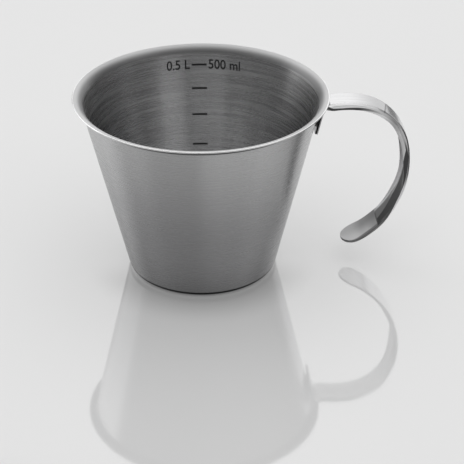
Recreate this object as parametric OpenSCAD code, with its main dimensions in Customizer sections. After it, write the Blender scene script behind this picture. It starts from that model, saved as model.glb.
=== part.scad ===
// Half-litre measuring jug: a drawn conical cup with a flared lip, and an open strap handle welded on under the lip.
// Millimetres, +Z up. The origin is on the cup's axis in the plane that it stands on, and the handle points along +X.

/* [Cup] */
// Diameter over the flared lip
rim_d = 120; // [108:1:140]
// Height from the table to the top of the lip
cup_h = 89.5; // [84:0.5:120]
// Diameter at which the wall's outside would meet the table
foot_d = 71; // [60:1:84]
// Thickness of the drawn sheet
sheet_t = 0.7; // [0.5:0.1:1.2]
// Radius under the flared lip
lip_r = 4; // [2.5:0.5:6]
// Outside radius between base and wall
base_r = 3.5; // [2:0.5:6]
// Diameter of the raised panel in the base
panel_d = 52; // [30:1:54]
// Height of the raised panel above the table
panel_rise = 0.5; // [0.3:0.1:1.5]

/* [Handle strap] */
// Width of the strip before it is formed
strip_w = 16.5; // [12:0.5:20]
// Thickness of the strip
strip_t = 1.2; // [0.8:0.1:1.8]
// Depth of the strap's upper face below the top of the lip, where it leaves the tab
handle_drop = 4.5; // [4:0.1:8]
// Length of the straight tab on the wall
tab_len = 12; // [10:0.5:18]
// Corner radius of the tab's lower end
tab_corner_r = 1.5; // [0.5:0.25:4]
// Middle radius of the bend between tab and grip
bend_r = 2.5; // [1.5:0.25:4]
// Upward slope of the strap as it leaves the bend, in degrees
rise_a = 11.5; // [0:0.5:25]
// Middle radius of the crown beside the lip
crown_r = 48.5; // [40:0.5:60]
// Angle through which the crown turns, in degrees
crown_turn = 18.5; // [12:0.5:24]
// Middle radius of the shoulder that turns down
shoulder_r = 27.7; // [24:0.1:32]
// Angle through which the shoulder turns, in degrees
shoulder_turn = 71.5; // [64:0.5:78]
// Middle radius of the palm stretch
palm_r = 47; // [42:0.5:52]
// Angle through which the palm stretch turns, in degrees
palm_turn = 66; // [58:0.5:70]
// Middle radius of the tongue at the lower end
tongue_r = 25.5; // [20:0.5:40]
// Angle through which the tongue turns, in degrees
tongue_turn = 27; // [20:0.5:34]
// Length of the tongue's elliptic end
tip_len = 8; // [5:0.5:12]
// Radius to which the strap's long edges are rolled in
roll_r = 1.5; // [1:0.25:5]
// Width of the straight flange past the rolled bend
flange_w = 0.8; // [0.4:0.1:1.5]
// Angle of the rolled edges over the crown, in degrees
roll_a = 90; // [20:1:100]
// Angle of the rolled edges at the end of the shoulder, in degrees
shoulder_roll_a = 125; // [20:1:130]
// Angle of the rolled edges in the palm, in degrees
palm_roll_a = 60; // [20:1:85]
// Length over which the edges roll in, from the start of the bend
roll_in_len = 6; // [4:0.5:20]
// Length over which the edges run out flat, before the tongue
roll_out_len = 24; // [12:1:36]
// Length of the flat tongue before its elliptic end
tongue_len = 6; // [2:0.5:16]

/* [Welds] */
// Diameter of a weld nugget
weld_d = 4.5; // [3:0.25:6]
// Number of nuggets along the tab
weld_count = 2; // [1:1:2]
// Spacing of the nuggets
weld_pitch = 5.5; // [4.6:0.1:6]
// Stand-off between wall and tab, which the nuggets fill
weld_gap = 0.8; // [0.2:0.1:1.2]

/* [Graduation lines] */
// Volume from one line to the next, in millilitres
mark_step_ml = 100; // [50:50:250]
// Length of a line along the wall
mark_len = 7.5; // [5:0.5:20]
// Width of a line up the wall
mark_w = 0.9; // [0.5:0.1:2]
// Thickness of a line on the wall
mark_t = 0.2; // [0.05:0.05:0.4]
// Direction of the scale, in degrees round from the handle
mark_azimuth = 89.5; // [30:0.5:330]

/* [Hidden] */
$fn = 180;

// Faces in a quarter of a small round
round_steps = 8;
// Largest turn from one strap section to the next, in degrees
section_turn = 5;
// Longest straight step from one strap section to the next
section_step = 4;
// Faces across half of the strap
half_faces = 14;
// Last section of the tongue's ellipse, in degrees round it
tip_last_a = 86;

// The lip's arcs turn about this point, and its rounded edge ends the sheet
lip_u = rim_d/2 - sheet_t/2;
lip_z = cup_h - lip_r - sheet_t;
// The wall's outer face starts at the foot and is tangent to the underside of the lip
lip_reach = norm([lip_u - foot_d/2, lip_z]);
taper = acos(lip_r/lip_reach) - atan2(lip_z, lip_u - foot_d/2);
slope = tan(taper);
wall_dir = [sin(taper), cos(taper)];
wall_out = [cos(taper), -sin(taper)];
wall_top_z = lip_z + lip_r*sin(taper);
// The base corner is tangent to the table and to the wall
corner_u = foot_d/2 - base_r*(1 - sin(taper))/cos(taper);
// Sideways shift of the panel's 45 degree step through the sheet
panel_shift = sheet_t*tan(22.5);

function wall_u(z) = foot_d/2 + z*slope;
function wall_at(z) = [wall_u(z), z];
function inner_wall_u(z) = wall_u(z) - sheet_t/cos(taper);

// Points on an arc about c, both ends included
function arc(c, r, a0, a1) =
    let (n = max(2, ceil(abs(a1 - a0)*round_steps/90)))
    [for (i = [0:n]) let (a = a0 + (a1 - a0)*i/n) c + r*[cos(a), sin(a)]];

// Height up to which the cup holds a volume, less the raised panel, and the volume up to the lip
floor_r = inner_wall_u(sheet_t);
panel_vol = PI*pow(panel_d/2, 2)*panel_rise;
function fill_z(ml) =
    let (r = pow(pow(floor_r, 3) + 3*slope*(ml*1000 + panel_vol)/PI, 1/3))
    sheet_t + (r - floor_r)/slope;
full_ml = (PI/(3*slope)*(pow(inner_wall_u(wall_top_z), 3) - pow(floor_r, 3)) - panel_vol)/1000;
mark_count = floor(full_ml/mark_step_ml);

// The strap's middle line is a chain of stretches, each [length, curvature], from the tab's lower end to the tip
function turned(r, a) = [r*a*PI/180, -1/r];
wall_a = 90 - taper;
chain = [
    [tab_len, 0],
    turned(bend_r, wall_a - rise_a),
    turned(crown_r, crown_turn),
    turned(shoulder_r, shoulder_turn),
    turned(palm_r, palm_turn),
    turned(tongue_r, tongue_turn)
];
last = len(chain) - 1;

// Place [u, z, direction] after a length on one stretch
function ahead(p, s, k) =
    k == 0 ? [p[0] + s*cos(p[2]), p[1] + s*sin(p[2]), p[2]]
    : let (a = p[2] + k*s*180/PI)
      [p[0] + (sin(a) - sin(p[2]))/k, p[1] + (cos(p[2]) - cos(a))/k, a];

// The tab lies at its stand-off from the wall, and the bend ends at the drop below the lip
leave_z = cup_h - handle_drop - strip_t/2*cos(rise_a);
bend_z = leave_z - bend_r*(cos(rise_a) - cos(wall_a));
tab_off = weld_gap + strip_t/2;
tab_top = wall_at(bend_z - tab_off*wall_out[1]) + tab_off*wall_out;
tab_foot = tab_top - tab_len*wall_dir;

function starts(i) = i == 0 ? [0] : let (b = starts(i - 1)) concat(b, [b[i - 1] + chain[i - 1][0]]);
function places(i) =
    i == 0 ? [[tab_foot[0], tab_foot[1], wall_a]]
    : let (b = places(i - 1)) concat(b, [ahead(b[i - 1], chain[i - 1][0], chain[i - 1][1])]);
chain_s = starts(last);
chain_p = places(last);
strap_len = chain_s[last] + chain[last][0];
tip_s = strap_len - tip_len;

function stretch_at(s, i = last) = i == 0 || s >= chain_s[i] ? i : stretch_at(s, i - 1);
function strap_at(s) = let (i = stretch_at(s)) ahead(chain_p[i], s - chain_s[i], chain[i][1]);
function ramp(x) = let (t = min(max(x, 0), 1)) t*t*(3 - 2*t);

// Half of the flat width along the strap
function half_w(s) =
    s < tab_corner_r ? strip_w/2 - tab_corner_r + sqrt(tab_corner_r*tab_corner_r - pow(tab_corner_r - s, 2))
    : s > tip_s ? strip_w/2*sqrt(1 - pow((s - tip_s)/tip_len, 2))
    : strip_w/2;

// How far the edges are formed, from none to all, and their roll, which closes over the later half of the shoulder and
// opens over the first half of the palm
function formed(s) = ramp((s - chain_s[1])/roll_in_len)*ramp((tip_s - tongue_len - s)/roll_out_len);
function closed(s) = ramp((s - (chain_s[3] + chain_s[4])/2)/(0.4*chain[3][0]));
function opened(s) = ramp(2*(s - chain_s[4])/chain[4][0]);
function roll_at(s) =
    formed(s)*(roll_a + (shoulder_roll_a - roll_a)*closed(s) + (palm_roll_a - shoulder_roll_a)*opened(s));

// One section: the strip's developed width v runs flat, then round the bend and then straight along the flange
function section_point(s, share, side) =
    let (
        p = strap_at(s),
        v = abs(share)*half_w(s),
        bend = roll_r*roll_at(s)*PI/180,
        flat = max(0, half_w(s) - bend - flange_w*formed(s)),
        past = max(0, v - flat),
        e = min(past/roll_r*180/PI, roll_at(s)),
        f = max(0, past - bend),
        y = min(v, flat) + (roll_r + side*strip_t/2)*sin(e) + f*cos(e),
        n = (roll_r + side*strip_t/2)*cos(e) - roll_r - f*sin(e)
    )
    [p[0] - n*sin(p[2]), sign(share)*y, p[1] + n*cos(p[2])];
function section(s) = concat(
    [for (i = [-half_faces:half_faces]) section_point(s, i/half_faces, 1)],
    [for (i = [-half_faces:half_faces]) section_point(s, -i/half_faces, -1)]
);

// Sections stand close together round the corners, in the bend and round the tip
function steps(i) = max(ceil(chain[i][0]*abs(chain[i][1])*180/PI/section_turn), ceil(chain[i][0]/section_step));
inner_s = [for (i = [0:last]) for (j = [0:steps(i) - 1]) chain_s[i] + chain[i][0]*j/steps(i)];
quarter = [for (i = [0:round_steps]) i/round_steps];
sections_s = concat(
    [for (q = quarter) tab_corner_r*(1 - cos(90*q))],
    [for (s = inner_s) if (s > tab_corner_r && s < tip_s) s],
    [for (q = quarter) tip_s + tip_len*sin(tip_last_a*q)]
);

// Closed skin through a list of rings of equal size, each with its far half running back beside the near half
module skin(rings) {
    n = len(rings[0]);
    m = len(rings);
    ends = [0, m - 1];
    sides = [for (i = [0:m - 2]) for (j = [0:n - 1]) let (k = (j + 1) % n)
        [i*n + j, i*n + k, (i + 1)*n + k, (i + 1)*n + j]];
    caps = [for (e = ends) for (j = [0:n/2 - 2])
        let (quad = [e*n + j, e*n + n - 1 - j, e*n + n - 2 - j, e*n + j + 1])
        e == 0 ? quad : [quad[3], quad[2], quad[1], quad[0]]];
    polyhedron([for (ring = rings) for (p = ring) p], concat(sides, caps), convexity = 6);
}

module cup_profile() {
    corner_c = [corner_u, base_r];
    lip_c = [lip_u, lip_z];
    polygon(concat(
        [[0, panel_rise], [panel_d/2 - panel_rise, panel_rise], [panel_d/2, 0]],
        arc(corner_c, base_r, -90, -taper),
        arc(lip_c, lip_r, 180 - taper, 90),
        arc([lip_u, cup_h - sheet_t/2], sheet_t/2, -90, 90),
        arc(lip_c, lip_r + sheet_t, 90, 180 - taper),
        arc(corner_c, base_r - sheet_t, -taper, -90),
        [[panel_d/2 + panel_shift, sheet_t], [panel_d/2 + panel_shift - panel_rise, sheet_t + panel_rise],
         [0, sheet_t + panel_rise]]
    ));
}

module cup_shell() {
    color("silver") rotate_extrude() cup_profile();
}

module handle_strap() {
    color("gainsboro") skin([for (s = sections_s) section(s)]);
}

// A nugget fills the gap between the round wall and the flat tab
module spot_welds() {
    sunk = sheet_t/2;
    color("darkgray")
    for (i = [0:weld_count - 1]) {
        along = tab_len/2 + (i - (weld_count - 1)/2)*weld_pitch;
        foot = tab_foot + along*wall_dir - (tab_off + sunk)*wall_out;
        difference() {
            translate([foot[0], 0, foot[1]]) rotate([0, 90 + taper, 0]) cylinder(d = weld_d, h = sunk + weld_gap);
            cylinder(r1 = foot_d/2, r2 = wall_u(wall_top_z), h = wall_top_z);
        }
    }
}

module graduation_lines() {
    color("black")
    for (i = [1:mark_count]) {
        z = fill_z(i*mark_step_ml);
        r = inner_wall_u(z);
        span = mark_len/r*180/PI;
        low = [r, z] - mark_w/2*wall_dir;
        high = [r, z] + mark_w/2*wall_dir;
        rotate([0, 0, mark_azimuth - span/2]) rotate_extrude(angle = span)
            polygon([low, high, high - mark_t*wall_out, low - mark_t*wall_out]);
    }
}

cup_shell();
handle_strap();
spot_welds();
graduation_lines();
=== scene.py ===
import math

import bmesh
import bpy
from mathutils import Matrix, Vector


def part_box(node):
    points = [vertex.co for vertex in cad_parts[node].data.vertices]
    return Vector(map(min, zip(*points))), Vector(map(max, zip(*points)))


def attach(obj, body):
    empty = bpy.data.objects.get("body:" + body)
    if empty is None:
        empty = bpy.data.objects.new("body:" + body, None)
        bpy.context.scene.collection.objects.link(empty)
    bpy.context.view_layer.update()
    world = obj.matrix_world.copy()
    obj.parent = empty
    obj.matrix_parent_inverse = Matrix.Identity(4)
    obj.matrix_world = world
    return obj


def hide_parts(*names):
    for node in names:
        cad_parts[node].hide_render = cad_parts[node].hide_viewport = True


mm = 0.001
mergeWithin = 0.001 * mm
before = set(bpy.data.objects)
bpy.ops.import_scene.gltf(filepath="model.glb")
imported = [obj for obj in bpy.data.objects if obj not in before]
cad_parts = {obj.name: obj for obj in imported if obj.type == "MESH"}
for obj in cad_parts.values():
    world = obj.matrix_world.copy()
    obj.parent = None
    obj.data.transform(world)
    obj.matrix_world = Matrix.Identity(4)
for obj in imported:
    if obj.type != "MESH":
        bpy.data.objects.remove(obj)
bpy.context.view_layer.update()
print("frame loaded:", ", ".join(sorted(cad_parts)))


class Wire:
    # one output socket; sums on it add their nodes to the tree
    def __init__(self, tree, socket=None):
        self.tree = tree
        self.socket = socket

    def node(self, kind, settings=None, values=None, out=0):
        made = self.tree.nodes.new("ShaderNode" + kind)
        for name, value in (settings or {}).items():
            setattr(made, name, value)
        for key, value in (values or {}).items():
            if isinstance(value, Wire):
                self.tree.links.new(value.socket, made.inputs[key])
            else:
                made.inputs[key].default_value = value
        return Wire(self.tree, made.outputs[out])

    def maths(self, operation, a, b=0.0):
        return self.node("Math", {"operation": operation}, {0: a, 1: b})

    def __add__(self, other):
        return self.maths("ADD", self, other)

    def __sub__(self, other):
        return self.maths("SUBTRACT", self, other)

    def __rsub__(self, other):
        return self.maths("SUBTRACT", other, self)

    def __mul__(self, other):
        return self.maths("MULTIPLY", self, other)

    def __pow__(self, other):
        return self.maths("POWER", self, other)

    __radd__ = __add__
    __rmul__ = __mul__

    def between(self, low, high):
        # 0 below low, 1 above high, smooth in between
        return self.node(
            "MapRange",
            {"interpolation_type": "SMOOTHSTEP"},
            {"Value": self, "From Min": low, "From Max": high},
        )

    def band(self, rise, fall):
        # 1 from the end of rise to the start of fall, 0 outside both
        return self.between(*rise) * (1 - self.between(*fall))

    def atLeast(self, low):
        return self.maths("MAXIMUM", self, low)

    def along(self, value, place, slope):
        # a straight line with this value at the place
        return (self - place) * slope + value

    def size(self):
        # without its sign
        return (self * self) ** 0.5


def newMaterial(name):
    material = bpy.data.materials.new(name)
    material.use_nodes = True
    tree = material.node_tree
    shader = next(n for n in tree.nodes if n.type == "BSDF_PRINCIPLED")
    return material, shader, Wire(tree)


def feed(wire, shader, **sockets):
    for name, value in sockets.items():
        wire.tree.links.new(value.socket, shader.inputs[name.replace("_", " ")])


def objectPlace(wire):
    place = wire.node("TexCoord", out="Object")
    parts = wire.node("SeparateXYZ", values={0: place})
    outs = parts.socket.node.outputs
    return [Wire(wire.tree, outs[axis]) for axis in "XYZ"]


def noise(wire, x, y, z, detail=3.0, roughness=0.6):
    place = wire.node("CombineXYZ", values={"X": x, "Y": y, "Z": z})
    values = {"Vector": place, "Scale": 1.0, "Detail": detail, "Roughness": roughness}
    return wire.node("TexNoise", values=values)


def brushed(wire, height, strength):
    # brush lines as a shallow relief
    return wire.node("Bump", values={"Strength": strength, "Distance": 0.2 * mm, "Height": height})


def greyMix(wire, low, high, mask):
    low, high = [ends if isinstance(ends, Wire) else (*ends, 1.0) for ends in (low, high)]
    return wire.node("Mix", {"data_type": "RGBA"}, {"Factor": mask, 6: low, 7: high}, out=2)


def addPiece(name, bm, material, nodes=(), sharp=30):
    mesh = bpy.data.meshes.new(name)
    bm.to_mesh(mesh)
    bm.free()
    mesh.materials.append(material)
    mesh.shade_smooth()
    mesh.set_sharp_from_angle(angle=math.radians(sharp))
    piece = bpy.data.objects.new(name, mesh)
    bpy.context.scene.collection.objects.link(piece)
    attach(piece, "root")
    if nodes:
        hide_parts(*nodes)
    return piece


# The cup: half of its section is drawn with a pen vertex and spun round the axis
cup = {
    "footRadius": 35.5 * mm,  # where the wall's outside would meet the table
    "sheet": 0.7 * mm,
    "lipRadius": 4 * mm,
    "cornerRadius": 3.5 * mm,
    "panelRadius": 26 * mm,
    "panelRise": 0.5 * mm,
    "arcSteps": 12,
    "spinSteps": 256,
    "support": 0.4 * mm,  # keeps the shading of an arc out of the flat next to it
}
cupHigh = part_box("cup_shell")[1]
rimRadius = cupHigh.y
cupHeight = cupHigh.z
lipCentre = Vector((rimRadius - cup["sheet"] / 2, 0, cupHeight - cup["lipRadius"] - cup["sheet"]))
lipReach = math.hypot(lipCentre.x - cup["footRadius"], lipCentre.z)
taper = math.acos(cup["lipRadius"] / lipReach) - math.atan2(lipCentre.z, lipCentre.x - cup["footRadius"])
cornerCentre = Vector(
    (
        cup["footRadius"] - cup["cornerRadius"] * (1 - math.sin(taper)) / math.cos(taper),
        0,
        cup["cornerRadius"],
    )
)
middleFoot = cup["footRadius"] - cup["sheet"] / 2 / math.cos(taper)  # the sheet's middle at table height
wallUp = Vector((math.sin(taper), 0, math.cos(taper)))
wallOut = Vector((math.cos(taper), 0, -math.sin(taper)))


# Cup steel, with brush lines that run round the cup, coarser inside
cupSteelLook = {
    "dark": (0.475, 0.475, 0.479),
    "light": (0.525, 0.525, 0.527),
    "grain": (0.25, 0.75),  # from the dark tone to the light one
    "roughness": 0.27,
    "anisotropy": 0.9,
    "brushTurn": 0.25,  # of a full turn: reflections are drawn out up and down the wall
    "fineLines": 2600,  # lines in a metre across the brushing
    "fineLength": 9,  # and changes in a metre along it
    "coarseLines": 900,
    "coarseLength": 22,
    "coarseShare": (0.15, 0.6),  # outside, and what the inside adds
    "roughShare": (0.05, 0.2),
    "insideBlur": 0.1 * mm,  # hidden in the sheet
    "bump": 0.01,
    "foot": (0.31, 0.31, 0.314),  # painted shade: darker towards the foot, where the wall reflects the shadowed floor
    "footShadeFade": (30 * mm, 95 * mm),
    # painted light on the handle's half of the outside
    "sheenSide": (0.75, 0.75, 0.753),
    "sheenSideFrom": ((-2 * mm, 8 * mm), (20 * mm, 45 * mm)),  # two steps towards the handle
    "sheenSideShare": (0.06, 0.09),  # at the foot, and what the height adds
    # painted shade: a darker band left of the front, and low on the left side
    "paintedDark": (0.2, 0.2, 0.202),
    "paintedDarkBand": ((-38 * mm, -18 * mm), (-6 * mm, 2 * mm)),
    "paintedDarkShare": 0.25,
    "footSideShade": ((-33 * mm, -24 * mm), (8 * mm, 40 * mm)),  # ends along x, and upwards
    "footSideShadeShare": 0.5,
    # painted shade: a dark contact line along the foot
    "footContactShade": (0.01, 0.01, 0.0101),
    "footContactShadeTop": (2.5 * mm, 3 * mm),
}
insideLook = {
    "dark": (0.37, 0.37, 0.373),
    "light": (0.58, 0.58, 0.584),
    "grain": (0.3, 0.7),
    # painted light: the inside wall is lighter towards both sides
    "side": (0.78, 0.78, 0.784),
    "sideSheenFrom": (25 * mm, 55 * mm),
    "sideSheenShare": 0.5,
}
lipLook = {
    # painted highlight and shade on the lip's upper face
    "low": (0.27, 0.27, 0.272),  # painted shade where the lip leaves the wall
    "high": (0.6, 0.6, 0.602),
    "blur": 0.05 * mm,  # hidden in the sheet
    "fade": 2.5 * mm,  # below the top of the rim
    "start": (3.9 * mm, 2.7 * mm),  # below the top, from none of the lip's tone to all of it
    "back": (10 * mm, 50 * mm),  # the painted highlight is widest at the back
    "rougher": 0.2,
    # painted shade under the lip
    "under": (0.08, 0.08, 0.081),
    "underStart": (3.8 * mm, 3 * mm),
    "edge": (0.85, 0.85, 0.852),  # painted highlight along the rim's edge, which is also smoother
    "edgeHighlightStart": (0.6 * mm, 0.35 * mm),  # in from the rim
    "edgeRoughness": 0.14,
}


def outsideTones(wire, colour, x, z):
    look = cupSteelLook
    # painted shade: the outside darkens towards the foot
    up = z.between(*look["footShadeFade"])
    colour = greyMix(wire, colour, look["foot"], 1 - up)
    # painted light: the handle's half is lighter than the other, more so higher up
    first, second = look["sheenSideFrom"]
    least, more = look["sheenSideShare"]
    sheenSide = (x.between(*first) + x.between(*second)) * (up * more + least)
    colour = greyMix(wire, colour, look["sheenSide"], sheenSide)
    # painted shade on a band left of the front and low on the left side
    paintedDark = x.band(*look["paintedDarkBand"]) * look["paintedDarkShare"]
    sideEnd, sideTop = look["footSideShade"]
    footSideShade = (1 - x.between(*sideEnd)) * (1 - z.between(*sideTop)) * look["footSideShadeShare"]
    colour = greyMix(wire, colour, look["paintedDark"], paintedDark + footSideShade)
    # painted shade: a dark contact line along the foot
    return greyMix(wire, colour, look["footContactShade"], 1 - z.between(*look["footContactShadeTop"]))


def insideTones(wire, grain, x):
    look = insideLook
    colour = greyMix(wire, look["dark"], look["light"], grain.between(*look["grain"]))
    # painted light towards both sides of the inside wall
    return greyMix(wire, colour, look["side"], x.size().between(*look["sideSheenFrom"]) * look["sideSheenShare"])


def lipTones(wire, colour, radius, y, z):
    look = lipLook
    # the lip's upper face is told from its underside by the distance from the lip's centre
    fromCentre = ((radius - lipCentre.x) ** 2 + (z - lipCentre.z) ** 2) ** 0.5
    middle = cup["lipRadius"] + cup["sheet"] / 2
    upper = fromCentre.between(middle - look["blur"], middle + look["blur"])
    # painted highlight on the lip's upper face, widest at the back
    high = z.between(cupHeight - look["fade"], cupHeight)
    back = y.between(*look["back"])
    bright = high * high * (back + (1 - back) * high * high)
    tone = greyMix(wire, look["low"], look["high"], bright)
    flare = upper * z.between(*[cupHeight - depth for depth in look["start"]])
    colour = greyMix(wire, colour, tone, flare)
    # painted shade under the lip
    under = (1 - upper) * z.between(*[cupHeight - depth for depth in look["underStart"]])
    colour = greyMix(wire, colour, look["under"], under)
    # painted highlight along the rim's edge
    edge = radius.between(*[rimRadius - depth for depth in look["edgeHighlightStart"]])
    return greyMix(wire, colour, look["edge"], edge), flare, edge


def makeCupSteel():
    look = cupSteelLook
    material, shader, wire = newMaterial("brushedCupSteel")
    x, y, z = objectPlace(wire)
    radius = (x * x + y * y) ** 0.5
    across = z + radius
    fine, coarse = [
        noise(wire, x * look[size + "Length"], y * look[size + "Length"], across * look[size + "Lines"])
        for size in ("fine", "coarse")
    ]
    # the sheet's middle parts the inside from the outside
    foot = radius - z * math.tan(taper)
    inside = 1 - foot.between(middleFoot - look["insideBlur"], middleFoot + look["insideBlur"])
    outsideShare, insideShare = look["coarseShare"]
    grain = fine + (coarse - fine) * (inside * insideShare + outsideShare)
    colour = greyMix(wire, look["dark"], look["light"], grain.between(*look["grain"]))
    colour = outsideTones(wire, colour, x, z)
    colour = greyMix(wire, colour, insideTones(wire, grain, x), inside)
    colour, flare, edge = lipTones(wire, colour, radius, y, z)
    outsideShare, insideShare = look["roughShare"]
    rough = look["roughness"] + (grain - 0.5) * (inside * insideShare + outsideShare)
    rough = rough + flare * lipLook["rougher"]
    feed(
        wire,
        shader,
        Base_Color=colour,
        Roughness=rough + (lipLook["edgeRoughness"] - rough) * edge,
        Normal=brushed(wire, grain, look["bump"]),
    )
    shader.inputs["Metallic"].default_value = 1.0
    shader.inputs["Anisotropic"].default_value = look["anisotropy"]
    shader.inputs["Anisotropic Rotation"].default_value = look["brushTurn"]
    return material


# Dull weld metal between wall and tab, darkened further as painted shade in the gap
weldLook = {
    "dark": (0.1, 0.09, 0.085),
    "light": (0.22, 0.21, 0.2),
    "spots": 1500,  # in a metre
    "roughness": (0.4, 0.3),  # least, and what the spots add
}


def makeWeldSteel():
    look = weldLook
    material, shader, wire = newMaterial("weldSteel")
    spots = noise(wire, *[axis * look["spots"] for axis in objectPlace(wire)], roughness=0.5)
    least, more = look["roughness"]
    feed(
        wire,
        shader,
        Base_Color=greyMix(wire, look["dark"], look["light"], spots),
        Roughness=least + spots * more,
    )
    shader.inputs["Metallic"].default_value = 1.0
    return material


# Matt black marking, a little worn
markingLook = {
    "dark": (0.012, 0.012, 0.013),
    "light": (0.035, 0.035, 0.035),
    "wear": 900,
    "roughness": (0.55, 0.2),
    "specular": 0.2,
}


def makeScaleBlack():
    look = markingLook
    material, shader, wire = newMaterial("scaleBlack")
    worn = noise(wire, *[axis * look["wear"] for axis in objectPlace(wire)], detail=2.0, roughness=0.5)
    least, more = look["roughness"]
    feed(
        wire,
        shader,
        Base_Color=greyMix(wire, look["dark"], look["light"], worn),
        Roughness=least + worn * more,
    )
    shader.inputs["Specular IOR Level"].default_value = look["specular"]
    return material


cupSteel = makeCupSteel()
weldSteel = makeWeldSteel()
scaleBlack = makeScaleBlack()
print("materials made")


def lineTo(bm, pen, x, z):
    new = bmesh.ops.extrude_vert_indiv(bm, verts=[pen])["verts"][0]
    new.co = (x, 0, z)
    return new


def arcTo(bm, pen, centre, turn, steps):
    made = bmesh.ops.spin(bm, geom=[pen], cent=centre, axis=(0, -1, 0), angle=turn, steps=steps)
    return next(v for v in made["geom_last"] if isinstance(v, bmesh.types.BMVert))


def wallTo(bm, pen, start, end):
    # straight stretch with a support point near both ends
    step = (end - start).normalized() * cup["support"]
    for place in (start + step, end - step, end):
        pen = lineTo(bm, pen, place.x, place.z)
    return pen


def makeCup():
    sheet = cup["sheet"]
    rise = cup["panelRise"]
    steps = cup["arcSteps"]
    quarter = math.pi / 2 - taper
    shift = sheet * math.tan(math.pi / 8)  # keeps the sheet's thickness on the panel's slope of 45 degrees
    edgeCentre = Vector((lipCentre.x, 0, cupHeight - sheet / 2))
    bm = bmesh.new()
    pen = bm.verts.new((0, 0, rise))
    # underside, wall and lip
    pen = lineTo(bm, pen, cup["panelRadius"] - rise, rise)
    pen = lineTo(bm, pen, cup["panelRadius"], 0)
    pen = wallTo(bm, pen, pen.co.copy(), Vector((cornerCentre.x, 0, 0)))
    pen = arcTo(bm, pen, cornerCentre, quarter, steps)
    pen = wallTo(bm, pen, pen.co.copy(), lipCentre - wallOut * cup["lipRadius"])
    pen = arcTo(bm, pen, lipCentre, -quarter, steps)
    # round edge, then back down the inside
    pen = arcTo(bm, pen, edgeCentre, math.pi, steps)
    pen = arcTo(bm, pen, lipCentre, quarter, steps)
    pen = wallTo(bm, pen, pen.co.copy(), cornerCentre + wallOut * (cup["cornerRadius"] - sheet))
    pen = arcTo(bm, pen, cornerCentre, -quarter, steps)
    pen = wallTo(bm, pen, pen.co.copy(), Vector((cup["panelRadius"] + shift, 0, sheet)))
    pen = lineTo(bm, pen, cup["panelRadius"] + shift - rise, sheet + rise)
    pen = lineTo(bm, pen, 0, sheet + rise)
    bmesh.ops.spin(
        bm,
        geom=bm.verts[:] + bm.edges[:],
        cent=(0, 0, 0),
        axis=(0, 0, 1),
        angle=math.tau,
        steps=cup["spinSteps"],
        use_merge=True,
    )
    bmesh.ops.remove_doubles(bm, verts=bm.verts[:], dist=mergeWithin)
    bmesh.ops.recalc_face_normals(bm, faces=bm.faces[:])
    addPiece("cup", bm, cupSteel, ["cup_shell"])


makeCup()
print("cup spun, wall leans out by", round(math.degrees(taper), 2), "degrees")


# The strap: a flat blank, bent along a chain of arcs, with its long edges rolled in
strap = {
    "width": 16.5 * mm,
    "thick": 1.2 * mm,
    "drop": 4.5 * mm,  # from the top of the lip to the strap's upper face at the bend
    "gap": 0.8 * mm,  # between wall and tab
    "tabLength": 12 * mm,
    "tabCorner": 1.5 * mm,
    "bend": 2.5 * mm,
    "rise": 11.5,
    "arcs": ((48.5, 18.5), (27.7, 71.5), (47, 66), (25.5, 27)),  # radius in mm and turn in degrees
    "tip": 8 * mm,
    "rollRadius": 1.5 * mm,
    "flange": 0.8 * mm,  # straight part past the rolled bend
    "roll": 90,  # over the crown
    "shoulderRoll": 125,
    "palmRoll": 60,
    "closing": 0.4,  # share of the shoulder's arc in which the roll closes
    "opening": 0.5,  # and of the palm's arc in which it opens
    "rollIn": 6 * mm,
    "rollOut": 24 * mm,
    "tongue": 6 * mm,  # flat stretch before the tip
    "edge": 0.25 * mm,
    "edgeSegments": 3,
    "edgeAngle": 50,  # edges sharper than this are broken
    "across": 44,  # faces across the strip
    "cornerSteps": 6,  # and along it, from the tab's corners to the tip
    "tabSteps": 8,
    "bendSteps": 14,
    "gripSteps": 110,
    "tipSteps": 16,
}


def strapChain():
    chain = [(strap["tabLength"], 0.0)]
    turn = math.pi / 2 - taper - math.radians(strap["rise"])
    chain.append((strap["bend"] * turn, -1 / strap["bend"]))
    for radius, degrees in strap["arcs"]:
        chain.append((radius * mm * math.radians(degrees), -1 / (radius * mm)))
    return chain


def stepAlong(place, length, curve):
    x, z, a = place
    if curve == 0:
        return x + length * math.cos(a), z + length * math.sin(a), a
    b = a + curve * length
    return x + (math.sin(b) - math.sin(a)) / curve, z + (math.cos(a) - math.cos(b)) / curve, b


def strapStart():
    rise = math.radians(strap["rise"])
    leave = cupHeight - strap["drop"] - strap["thick"] / 2 * math.cos(rise)
    topZ = leave - strap["bend"] * (math.cos(rise) - math.sin(taper))
    off = strap["gap"] + strap["thick"] / 2
    wallZ = topZ + off * math.sin(taper)
    top = Vector((cup["footRadius"] + wallZ * math.tan(taper), 0, wallZ)) + wallOut * off
    foot = top - wallUp * strap["tabLength"]
    return foot.x, foot.z, math.pi / 2 - taper


def ramp(x):
    t = min(max(x, 0.0), 1.0)
    return t * t * (3 - 2 * t)


def strapPlace(s):
    place = strapStart()
    for length, curve in strapChain():
        place = stepAlong(place, min(s, length), curve)
        s -= length
        if s <= 0:
            break
    return place


# Strap steel: bright satin outside, duller inside and on the cut edge
strapSteelLook = {
    "outer": {"dark": 0.68, "light": 0.78, "roughness": 0.15, "edgeTint": 0.99},
    "inner": {"dark": 0.44, "light": 0.54, "roughness": 0.3, "edgeTint": 0.8},
    "cut": {"dark": 0.2, "light": 0.26, "roughness": 0.35, "edgeTint": 0.6},
    "grain": (0.3, 0.7),
    "lines": 2400,  # in a metre across the strap
    "length": 40,  # changes in a metre along it
    "roughShare": 0.08,
    "bump": 0.01,
}
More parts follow.
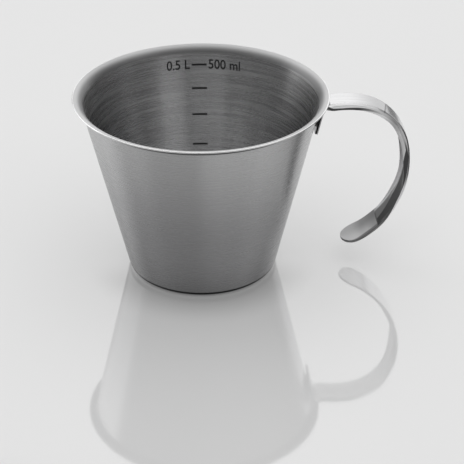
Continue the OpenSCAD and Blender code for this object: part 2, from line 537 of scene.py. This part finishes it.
# In the next three, places along the strap are in mm from the tab's end, and places across it
# are shares of the half width. A band has a start and an end, and a straight line has
# a value, the place with that value and the change for each mm
outerLook = {
    "skew": 1.7,  # of the seam, from the middle to an edge
    # painted reflections: the crown is darker from 24 mm, and darker still past the seam
    "crownReflection": 0.43,
    "crownReflectionBand": ((24, 42), (44, 44.4)),
    "seam": 0.15,
    "seamBand": ((43.5, 43.8), (44.2, 44.5)),
    "shoulderReflection": 0.37,
    "shoulderReflectionBand": ((44, 44.4), (46, 58)),
    # painted highlight: pale flanges along the crown
    "flange": 0.97,
    "flangeHighlightFrom": (0.7, 0.8),
    "flangeHighlightEnd": (42, 52),
    "dull": 0.6,  # loss of metal shine on the bend, in two steps, so its pale tone shows as a painted highlight
    "bendHighlightFrom": ((0.64, 0.7), (0.79, 0.83)),
    "bendHighlightEnd": (52, 60),
    "side": (0.05, 0.08),  # painted shade along the lower edge, along the crown and in the palm
    "sideChange": (44, 60),
    "sideLow": ((0.965, 0, -0.0038), (0.72, 72, 0.0155)),
    "sideEarly": (22, 0.009),  # before this place the line starts lower, by this much for each mm
    "sideWidth": 0.07,
    "sideHigh": ((0.79, 67, 0.03), (1.25, 0, -0.0088)),
    "sideBlur": 0.012,
    "sideFaint": ((29, 44), (60, 67)),
    "sideFaintShare": 0.7,
}
innerLook = {
    # painted highlight: pale rolled flanges with little metal shine
    "rolled": 0.95,
    "rolledFrom": (0.5, 0.6),
    "rolledMove": (90, 98),
    "rolledShift": 0.2,
    "rolledEnd": (107, 110.5),
    "rolledDull": 0.95,
    "channelReflection": (0.022, 0.05),  # painted dark reflection, at the shoulder and in the palm
    "channelChange": (88, 104),
    "channelStart": (60, 66),
    "channelEdge": (0.42, 85, -0.004),
    "channelLate": (97, 0.042),  # from here the edge draws in faster
    "channelBlur": 0.03,
    # painted dark reflection where the channel ends
    "channelEnd": 0.2,
    "channelEndFrom": (95, 101),
    "channelEndTo": (0.6, 0.75),
}
tongueLook = {
    # painted reflections across the tongue's inner face
    "near": (0.62, 0.4),  # at its start and at its end
    "nearChange": (116, 129),
    "far": 0.32,
    "farFrom": (-0.8, 0.5),
    "begin": 0.2,
    "beginEnd": (111.5, 118),
    "beginShare": 0.5,
    "edge": 0.22,
    "edgeTo": (-0.78, -0.68),
    "edgeMove": (118, 0.023),
    "start": (110.5, 110.9),
    # painted shade in the crease where the flanges end
    "creaseShade": 0.12,
    "creaseBand": ((110.1, 110.4), (110.8, 111.1)),
    "creaseTo": (0.2, 0.3),  # share of the half width, squared
}
tabLook = {
    "bare": 0.4,
    "bareTo": (3 * mm, 5 * mm),  # distance from the wall
    # painted shade in the gap beside the wall
    "gapShade": 0.01,
    "gapShadeTo": (1.35 * mm, 1.6 * mm),
}


def grey(value):
    return (value, value, value * 1.005)  # with a trace of blue


def strapGrid(wire):
    # length along the strap in mm, and share of the half width, from -1 to 1
    place = wire.node("UVMap", {"uv_map": "strap"})
    outs = wire.node("SeparateXYZ", values={0: place}).socket.node.outputs
    total = sum(length for length, curve in strapChain())
    return Wire(wire.tree, outs["X"]) * (total / mm), Wire(wire.tree, outs["Y"]) * 2 - 1


def sideShadeLine(s, edgeward):
    # painted shade: a dark line along the lower edge thins out over the shoulder and widens into the palm
    look = outerLook
    crown, palm = look["sideLow"]
    earlyEnd, earlySlope = look["sideEarly"]
    low = s.along(*crown).atLeast(s.along(*palm)) - (earlyEnd - s).atLeast(0.0) * earlySlope
    high = low + look["sideWidth"]
    for line in look["sideHigh"]:
        high = high.atLeast(s.along(*line))
    blur = look["sideBlur"]
    side = (edgeward - low).between(-blur, blur) * (1 - (edgeward - high).between(-blur, blur))
    return side * (1 - s.band(*look["sideFaint"]) * look["sideFaintShare"])


def outerTones(wire, colour):
    look = outerLook
    s, share = strapGrid(wire)
    edgeward = share.size()
    skewed = s - share * look["skew"]
    # painted reflections along the crown and shoulder
    crownReflectionStart, crownReflectionEnd = look["crownReflectionBand"]
    shoulderReflectionStart, shoulderReflectionEnd = look["shoulderReflectionBand"]
    # painted highlight on the flanges
    flange = edgeward.between(*look["flangeHighlightFrom"]) * (1 - s.between(*look["flangeHighlightEnd"]))
    crown, palm = [grey(value) for value in look["side"]]
    masks = (
        (grey(look["crownReflection"]), s.between(*crownReflectionStart) * (1 - skewed.between(*crownReflectionEnd))),
        (grey(look["shoulderReflection"]), skewed.between(*shoulderReflectionStart) * (1 - s.between(*shoulderReflectionEnd))),
        (grey(look["seam"]), skewed.band(*look["seamBand"])),
        (grey(look["flange"]), flange),
        (greyMix(wire, crown, palm, s.between(*look["sideChange"])), sideShadeLine(s, edgeward)),
    )
    for tone, mask in masks:
        colour = greyMix(wire, colour, tone, mask)
    # less metal shine on the bend, so it shows as a painted highlight
    first, second = [edgeward.between(*step) for step in look["bendHighlightFrom"]]
    dull = first * look["dull"] + second * (1 - look["dull"])
    return colour, 1 - dull * (1 - s.between(*look["bendHighlightEnd"]))


def tongueTones(wire, s, share):
    look = tongueLook
    # painted reflections across the tongue
    near, tip = [grey(value) for value in look["near"]]
    tone = greyMix(wire, near, tip, s.between(*look["nearChange"]))
    tone = greyMix(wire, tone, grey(look["far"]), share.between(*look["farFrom"]))
    begin = (1 - s.between(*look["beginEnd"])) * look["beginShare"]
    tone = greyMix(wire, tone, grey(look["begin"]), begin)
    moveStart, moveSlope = look["edgeMove"]
    pastEdge = 1 - (share + (s - moveStart).atLeast(0.0) * moveSlope).between(*look["edgeTo"])
    return greyMix(wire, tone, grey(look["edge"]), pastEdge)


def innerTones(wire, colour):
    look = innerLook
    s, share = strapGrid(wire)
    lateStart, lateSlope = look["channelLate"]
    # painted dark reflection in the channel
    channelEdge = s.along(*look["channelEdge"]) - (s - lateStart).atLeast(0.0) * lateSlope
    blur = look["channelBlur"]
    channelReflection = (1 - (share - channelEdge).between(-blur, blur)) * s.between(*look["channelStart"])
    shoulder, palm = [grey(value) for value in look["channelReflection"]]
    channelEnd = s.between(*look["channelEndFrom"]) * (1 - share.between(*look["channelEndTo"]))
    # painted highlight on the rolled flanges
    rolled = share.size() - s.between(*look["rolledMove"]) * look["rolledShift"]
    rolled = rolled.between(*look["rolledFrom"]) * (1 - s.between(*look["rolledEnd"]))
    # painted shade in the crease
    creaseShade = s.band(*tongueLook["creaseBand"]) * (1 - (share * share).between(*tongueLook["creaseTo"]))
    masks = (
        (grey(look["rolled"]), rolled),
        (grey(look["channelEnd"]), channelEnd),
        (greyMix(wire, shoulder, palm, s.between(*look["channelChange"])), channelReflection),
        (tongueTones(wire, s, share), s.between(*tongueLook["start"])),
        (grey(tongueLook["creaseShade"]), creaseShade),
    )
    for tone, mask in masks:
        colour = greyMix(wire, colour, tone, mask)
    return colour, 1 - rolled * look["rolledDull"]


def cutTones(wire, colour):
    # the tab's edge is bare, with painted shade on the wall's side, where the gap between tab and wall lies
    # in shadow
    look = tabLook
    x, y, z = objectPlace(wire)
    fromWall = x - z * math.tan(taper) - cup["footRadius"]
    colour = greyMix(wire, colour, grey(look["bare"]), 1 - fromWall.between(*look["bareTo"]))
    colour = greyMix(wire, colour, grey(look["gapShade"]), 1 - fromWall.between(*look["gapShadeTo"]))
    return colour, None  # metal all over


def makeStrapSteel(face, tones):
    brush = strapSteelLook
    look = brush[face]
    material, shader, wire = newMaterial(face + "StrapSteel")
    x, y, z = objectPlace(wire)
    fine = noise(wire, x * brush["length"], y * brush["lines"], z * brush["length"])
    colour = greyMix(wire, grey(look["dark"]), grey(look["light"]), fine.between(*brush["grain"]))
    colour, metal = tones(wire, colour)
    if metal:
        feed(wire, shader, Metallic=metal)
    feed(
        wire,
        shader,
        Base_Color=colour,
        Roughness=look["roughness"] + (fine - 0.5) * brush["roughShare"],
        Normal=brushed(wire, fine, brush["bump"]),
    )
    shader.inputs["Metallic"].default_value = 1.0
    shader.inputs["Specular Tint"].default_value = (*grey(look["edgeTint"]), 1.0)
    return material


outerStrapSteel = makeStrapSteel("outer", outerTones)
innerStrapSteel = makeStrapSteel("inner", innerTones)
cutStrapSteel = makeStrapSteel("cut", cutTones)


def makeStrap():
    chain = strapChain()
    total = sum(length for length, curve in chain)
    tipStart = total - strap["tip"]
    palmStart = sum(length for length, curve in chain[:4])
    shoulderMiddle = palmStart - chain[3][0] / 2
    half = strap["width"] / 2
    corner = strap["tabCorner"]

    def halfWidth(s):
        if s < corner:
            return half - corner + math.sqrt(max(0.0, corner**2 - (corner - s) ** 2))
        if s > tipStart:
            return half * math.sqrt(max(0.0, 1 - ((s - tipStart) / strap["tip"]) ** 2))
        return half

    def formed(s):
        into = ramp((s - strap["tabLength"]) / strap["rollIn"])
        return into * ramp((tipStart - strap["tongue"] - s) / strap["rollOut"])

    def rollAt(s):
        closed = ramp((s - shoulderMiddle) / (strap["closing"] * chain[3][0]))
        opened = ramp((s - palmStart) / (strap["opening"] * chain[4][0]))
        roll = strap["roll"] + (strap["shoulderRoll"] - strap["roll"]) * closed
        roll += (strap["palmRoll"] - strap["shoulderRoll"]) * opened
        return math.radians(roll) * formed(s)

    def spaced(first, last, steps):
        return [first + (last - first) * i / steps for i in range(steps)]

    # stations lie close together round the tab's corners, in the bend and round the tip
    gripStart = strap["tabLength"] + chain[1][0]
    cornerTurns = spaced(0, math.pi / 2, strap["cornerSteps"])
    tipTurns = spaced(0, math.pi / 2, strap["tipSteps"])
    stations = [corner * (1 - math.cos(turn)) for turn in cornerTurns]
    stations += spaced(corner, strap["tabLength"], strap["tabSteps"])
    stations += spaced(strap["tabLength"], gripStart, strap["bendSteps"])
    stations += spaced(gripStart, tipStart, strap["gripSteps"])
    stations += [tipStart + strap["tip"] * math.sin(turn) for turn in tipTurns]
    stations.append(total)

    bm = bmesh.new()
    bmesh.ops.create_grid(bm, x_segments=len(stations) - 1, y_segments=strap["across"], size=0.5)
    grid = bm.loops.layers.uv.new("strap")
    for face in bm.faces:
        for loop in face.loops:
            s = stations[round((loop.vert.co.x + 0.5) * (len(stations) - 1))]
            loop[grid].uv = (s / total, loop.vert.co.y + 0.5)
    for v in bm.verts:
        s = stations[round((v.co.x + 0.5) * (len(stations) - 1))]
        share = v.co.y * 2
        x, z, a = strapPlace(s)
        width = halfWidth(s)
        across = abs(share) * width
        roll = rollAt(s)
        arc = strap["rollRadius"] * roll
        flat = max(0.0, width - arc - strap["flange"] * formed(s))
        past = max(0.0, across - flat)
        bent = min(past / strap["rollRadius"], roll)
        straight = max(0.0, past - arc)
        side = min(across, flat) + strap["rollRadius"] * math.sin(bent) + straight * math.cos(bent)
        sink = strap["rollRadius"] * (math.cos(bent) - 1) - straight * math.sin(bent)
        v.co = (x - sink * math.sin(a), math.copysign(side, share), z + sink * math.cos(a))
    bmesh.ops.remove_doubles(bm, verts=bm.verts[:], dist=2 * mergeWithin)
    bmesh.ops.recalc_face_normals(bm, faces=bm.faces[:])
    piece = addPiece("handleStrap", bm, outerStrapSteel, ["handle_strap"])
    piece.data.materials.append(innerStrapSteel)
    piece.data.materials.append(cutStrapSteel)
    wall = piece.modifiers.new("thickness", "SOLIDIFY")
    wall.thickness = strap["thick"]
    wall.offset = 0
    wall.use_even_offset = True
    wall.material_offset = 1
    wall.material_offset_rim = 2
    edge = piece.modifiers.new("brokenEdges", "BEVEL")
    edge.width = strap["edge"]
    edge.segments = strap["edgeSegments"]
    edge.limit_method = "ANGLE"
    edge.angle_limit = math.radians(strap["edgeAngle"])
    edge.use_clamp_overlap = False
    edge.harden_normals = True


makeStrap()
print("strap bent")


# Weld nuggets and volume lines are the frame's own, with a finish
for nodeName, finish, slot in (
    ("spot_welds", weldSteel, "weld_steel"),
    ("graduation_lines", scaleBlack, "scale_black"),
):
    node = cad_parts[nodeName]
    node.data.materials.clear()
    node.data.materials.append(finish)

# Figures beside the top line, laid on the inner wall
figures = {
    "texts": (("figuresLeft", "0.5 L", -1), ("figuresRight", "500 ml", 1)),  # name, text, side of the line
    "gap": 0.7 * mm,  # from the line's end
    "height": 4.6 * mm,
    "capShare": 0.69,  # height of a figure in the letters' size
    "lineHeight": 0.9 * mm,
    "condense": 0.9,
    "bolder": 0.012,
    "thick": 0.05 * mm,
    "lift": 0.01 * mm,
}


def makeFigures():
    lineLow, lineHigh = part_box("graduation_lines")
    middleZ = lineHigh.z - figures["lineHeight"] / 2 * math.cos(taper)
    lineMiddle = (lineLow + lineHigh) / 2
    azimuth = math.atan2(lineHigh.y, lineMiddle.x)
    lineHalf = (lineHigh.x - lineLow.x) / 2
    innerFoot = cup["footRadius"] - cup["sheet"] / math.cos(taper)
    for name, text, side in figures["texts"]:
        letters = bpy.data.curves.new(name, "FONT")
        letters.body = text
        letters.size = figures["height"] / figures["capShare"]
        letters.offset = figures["bolder"] * letters.size
        letters.align_x = "LEFT" if side > 0 else "RIGHT"
        letters.align_y = "CENTER"
        shape = bpy.data.objects.new(name + "Text", letters)
        bpy.context.scene.collection.objects.link(shape)
        bpy.context.view_layer.update()
        shapeNow = shape.evaluated_get(bpy.context.evaluated_depsgraph_get())
        flat = bpy.data.meshes.new_from_object(shapeNow)
        bpy.data.objects.remove(shape)
        bm = bmesh.new()
        bm.from_mesh(flat)
        bmesh.ops.remove_doubles(bm, verts=bm.verts[:], dist=mergeWithin)
        bmesh.ops.recalc_face_normals(bm, faces=bm.faces[:])
        if sum(f.normal.z for f in bm.faces) < 0:
            bmesh.ops.reverse_faces(bm, faces=bm.faces[:])
        bmesh.ops.solidify(bm, geom=bm.faces[:], thickness=figures["thick"])
        bmesh.ops.recalc_face_normals(bm, faces=bm.faces[:])
        for v in bm.verts:
            z = middleZ + v.co.y * math.cos(taper)
            radius = innerFoot + z * math.tan(taper)
            shift = side * (lineHalf + figures["gap"])
            angle = azimuth - (v.co.x * figures["condense"] + shift) / radius
            reach = radius - figures["lift"] - abs(v.co.z)
            v.co = (reach * math.cos(angle), reach * math.sin(angle), z)
        bmesh.ops.recalc_face_normals(bm, faces=bm.faces[:])
        addPiece(name, bm, scaleBlack)


makeFigures()
print("figures laid on the wall")


# Stage: glossy pale floor and soft lamps
stage = {
    "floorSize": 6.0,
    "floorPale": 0.57,
    "floorGlow": 0.23,
    "floorDark": 0.03,  # on the handle's side, only for the metal's reflections
    "darkFrom": (0.15, 0.19),
    "darkLean": 0.16,
    "darkBehind": (-0.12, 0.0),
    "floorRimShadow": 0.35,  # painted shadow: a dim rim in front of the foot
    "rimEnd": (32 * mm, 60 * mm),
    "rimFront": (-25 * mm, 0.0),
    "floorGloss": 0.32,  # at a grazing look, falling off with steepness
    "glossPower": 0.6,
    "floorBlur": 0.05,
    "world": 0.2,
    # name, place, aim, size, radiance, lights dull surfaces, shows in gloss
    "lamps": (
        ("topLamp", (-0.1, 0.35, 1.4), (-0.1, 0.35, 0), (3.0, 1.9), 1.05, True, True),
        ("fillLamp", (0.5, -1.1, 1.4), (0.5, -1.1, 0), (3.0, 1.0), 1.05, True, False),
        ("backLamp", (0.45, 1.7, 0.8), (0, 0, 0.6), (2.6, 1.58), 0.95, False, True),
        ("leftLamp", (-1.3, 0.85, 0.7), (0, 0, 0.1), (1.5, 1.2), 1.2, False, True),
    ),
}


def makeFloor():
    bm = bmesh.new()
    bmesh.ops.create_grid(bm, x_segments=1, y_segments=1, size=stage["floorSize"] / 2)
    mesh = bpy.data.meshes.new("floor")
    bm.to_mesh(mesh)
    bm.free()
    floor = bpy.data.objects.new("floor", mesh)
    bpy.context.scene.collection.objects.link(floor)
    material, shader, wire = newMaterial("paleAcrylic")
    tree = wire.tree
    x, y, z = objectPlace(wire)
    # the dark side stands in for a dark card
    aside = (x - y * stage["darkLean"]).between(*stage["darkFrom"]) * y.between(*stage["darkBehind"])
    aside = aside * wire.node("LightPath", out="Is Glossy Ray")
    # painted shadow: a dim rim in front of the foot
    near = 1 - ((x * x + y * y) ** 0.5).between(*stage["rimEnd"])
    dim = aside + near * (1 - y.between(*stage["rimFront"])) * stage["floorRimShadow"]
    pale = [stage["floorPale"]] * 3
    dark = [stage["floorDark"]] * 3
    feed(
        wire,
        shader,
        Base_Color=greyMix(wire, pale, dark, dim),
        Emission_Color=greyMix(wire, (1.0, 1.0, 1.0), (0.0, 0.0, 0.0), dim),
    )
    shader.inputs["Roughness"].default_value = 1.0
    shader.inputs["Specular IOR Level"].default_value = 0.0
    shader.inputs["Emission Strength"].default_value = stage["floorGlow"]
    dull = Wire(tree, shader.outputs["BSDF"])
    shine = wire.node("BsdfGlossy", values={"Color": (1.0, 1.0, 1.0, 1.0), "Roughness": stage["floorBlur"]})
    facing = wire.node("LayerWeight", values={"Blend": 0.5}, out="Facing")
    gloss = facing ** stage["glossPower"] * stage["floorGloss"]
    mixed = wire.node("MixShader", values={0: gloss, 1: dull, 2: shine})
    output = next(n for n in tree.nodes if n.type == "OUTPUT_MATERIAL")
    tree.links.new(mixed.socket, output.inputs["Surface"])
    mesh.materials.append(material)


def addLamp(name, place, aim, size, radiance, lightsDull, inGloss):
    lamp = bpy.data.lights.new(name, "AREA")
    lamp.shape = "RECTANGLE"
    lamp.size, lamp.size_y = size
    lamp.energy = radiance * math.pi * size[0] * size[1]
    holder = bpy.data.objects.new(name, lamp)
    holder.location = place
    holder.rotation_euler = (Vector(aim) - Vector(place)).to_track_quat("-Z", "Y").to_euler()
    holder.visible_diffuse = lightsDull
    holder.visible_glossy = inGloss
    bpy.context.scene.collection.objects.link(holder)


def makeLight():
    world = bpy.data.worlds.new("studio")
    bpy.context.scene.world = world
    world.use_nodes = True
    background = next(n for n in world.node_tree.nodes if n.type == "BACKGROUND")
    background.inputs["Color"].default_value = (1.0, 1.0, 1.0, 1.0)
    background.inputs["Strength"].default_value = stage["world"]
    for lamp in stage["lamps"]:
        addLamp(*lamp)


makeFloor()
makeLight()
print("floor and lamps set")

# Camera, fitted to the rim, the wall, the base and the volume lines
view = {
    "lens": 120.26,
    "sensor": 36,
    "place": (-0.0149, -0.6569, 0.3963),
    "down": 30.126,
    "right": 2.56,
}
camera = bpy.data.cameras.new("camera")
camera.lens = view["lens"]
camera.sensor_width = view["sensor"]
cameraHolder = bpy.data.objects.new("camera", camera)
cameraHolder.location = view["place"]
cameraHolder.rotation_euler = (math.radians(90 - view["down"]), 0, -math.radians(view["right"]))
bpy.context.scene.collection.objects.link(cameraHolder)
bpy.context.scene.camera = cameraHolder
bpy.context.scene.view_settings.view_transform = "Standard"
print("camera set")
